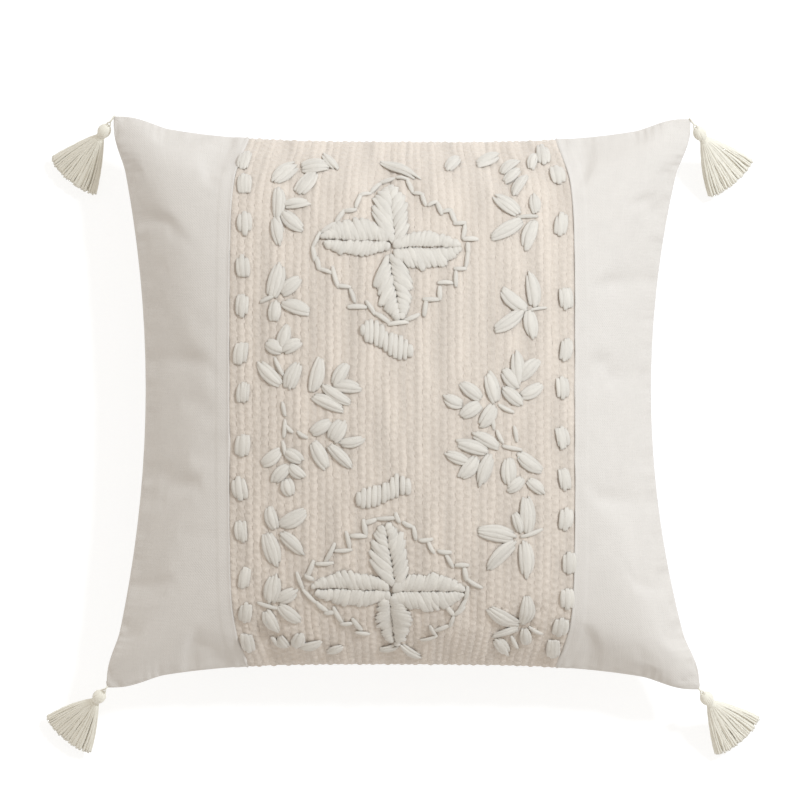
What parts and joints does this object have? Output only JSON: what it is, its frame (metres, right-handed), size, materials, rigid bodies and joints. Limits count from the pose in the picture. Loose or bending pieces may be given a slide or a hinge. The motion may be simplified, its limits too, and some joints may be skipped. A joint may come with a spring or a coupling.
{
  "type": "throw pillow",
  "caption": "Square throw pillow lying on its back: embroidered ribbed centre panel between plain side panels, fringed tassels at the corners, zipped back, fibre-filled insert.",
  "frame": {"origin": "middle of the flat patch of the back panel that the pillow rests on", "axes": "+Z out of the embroidered face, which points up; +Y towards its top edge; +X towards its right edge"},
  "size_m": [0.5671, 0.5029, 0.144],
  "materials": {
    "side_linen": "matte",
    "rib_cloth": "matte",
    "backing_cloth": "matte",
    "stitching": "matte",
    "tassel_yarn": "matte",
    "ticking": "matte",
    "fibre": "matte",
    "zip_tape": "matte",
    "zip_coil": "satin",
    "zip_metal": "satin"
  },
  "bodies": {
    "pillow": {"back_panel": "backing_cloth", "back_zip_strip": "backing_cloth", "dashes_left": "stitching", "dashes_right": "stitching", "front_panel_centre": "rib_cloth", "front_panel_left": "side_linen", "front_panel_right": "side_linen", "insert_fibre_filling": "fibre", "insert_ticking_back": "ticking", "insert_ticking_front": "ticking", "medallion_lower_bars": "stitching", "medallion_lower_outline": "stitching", "medallion_lower_petal_bottom": "stitching", "medallion_lower_petal_left": "stitching", "medallion_lower_petal_right": "stitching", "medallion_lower_petal_top": "stitching", "medallion_upper_bars": "stitching", "medallion_upper_outline": "stitching", "medallion_upper_petal_bottom": "stitching", "medallion_upper_petal_left": "stitching", "medallion_upper_petal_right": "stitching", "medallion_upper_petal_top": "stitching", "sprig_left_bottom": "stitching", "sprig_left_foot": "stitching", "sprig_left_lower": "stitching", "sprig_left_middle": "stitching", "sprig_left_top": "stitching", "sprig_left_upper": "stitching", "sprig_left_waist": "stitching", "sprig_right_bottom": "stitching", "sprig_right_lower": "stitching", "sprig_right_middle": "stitching", "sprig_right_shoulder": "stitching", "sprig_right_top": "stitching", "sprig_right_upper": "stitching", "sprig_right_waist": "stitching", "zip_bottom_stop": "zip_metal", "zip_coil_lower": "zip_coil", "zip_coil_upper": "zip_coil", "zip_tape_lower": "zip_tape", "zip_tape_upper": "zip_tape", "zip_top_stop": "zip_metal"},
    "zip_slider": {"zip_slider": "zip_metal"},
    "zip_pull_tab": {"zip_pull_tab": "zip_metal"},
    "tassel_top_left": {"tassel_top_left_head": "tassel_yarn", "tassel_top_left_loop": "tassel_yarn", "tassel_top_left_neck_binding": "tassel_yarn", "tassel_top_left_skirt": "tassel_yarn"},
    "tassel_top_right": {"tassel_top_right_head": "tassel_yarn", "tassel_top_right_loop": "tassel_yarn", "tassel_top_right_neck_binding": "tassel_yarn", "tassel_top_right_skirt": "tassel_yarn"},
    "tassel_bottom_left": {"tassel_bottom_left_head": "tassel_yarn", "tassel_bottom_left_loop": "tassel_yarn", "tassel_bottom_left_neck_binding": "tassel_yarn", "tassel_bottom_left_skirt": "tassel_yarn"},
    "tassel_bottom_right": {"tassel_bottom_right_head": "tassel_yarn", "tassel_bottom_right_loop": "tassel_yarn", "tassel_bottom_right_neck_binding": "tassel_yarn", "tassel_bottom_right_skirt": "tassel_yarn"}
  },
  "joints": [
    {"name": "zip_slide", "type": "slide", "parent": "pillow", "child": "zip_slider", "axis": [-1, 0, 0], "range_m": [0, 0.252]},
    {"name": "pull_tab_flip", "type": "hinge", "parent": "zip_slider", "child": "zip_pull_tab", "pos_m": [0.13, -0.20049, 0.04885], "axis": [0, -0.5, 0.866], "range_deg": [0, 165]},
    {"name": "tassel_top_left_lift", "type": "hinge", "parent": "pillow", "child": "tassel_top_left", "pos_m": [-0.2271, 0.2188, 0.05], "axis": [-0.766, 0.6428, 0], "range_deg": [0, 120]},
    {"name": "tassel_top_right_lift", "type": "hinge", "parent": "pillow", "child": "tassel_top_right", "pos_m": [0.2271, 0.2168, 0.05], "axis": [-0.766, -0.6428, 0], "range_deg": [0, 120]},
    {"name": "tassel_bottom_left_lift", "type": "hinge", "parent": "pillow", "child": "tassel_bottom_left", "pos_m": [-0.23103, -0.22273, 0.05], "axis": [-0.766, 0.6428, 0], "range_deg": [0, 120]},
    {"name": "tassel_bottom_right_lift", "type": "hinge", "parent": "pillow", "child": "tassel_bottom_right", "pos_m": [0.23253, -0.22423, 0.05], "axis": [-0.766, -0.6428, 0], "range_deg": [0, 120]}
  ]
}
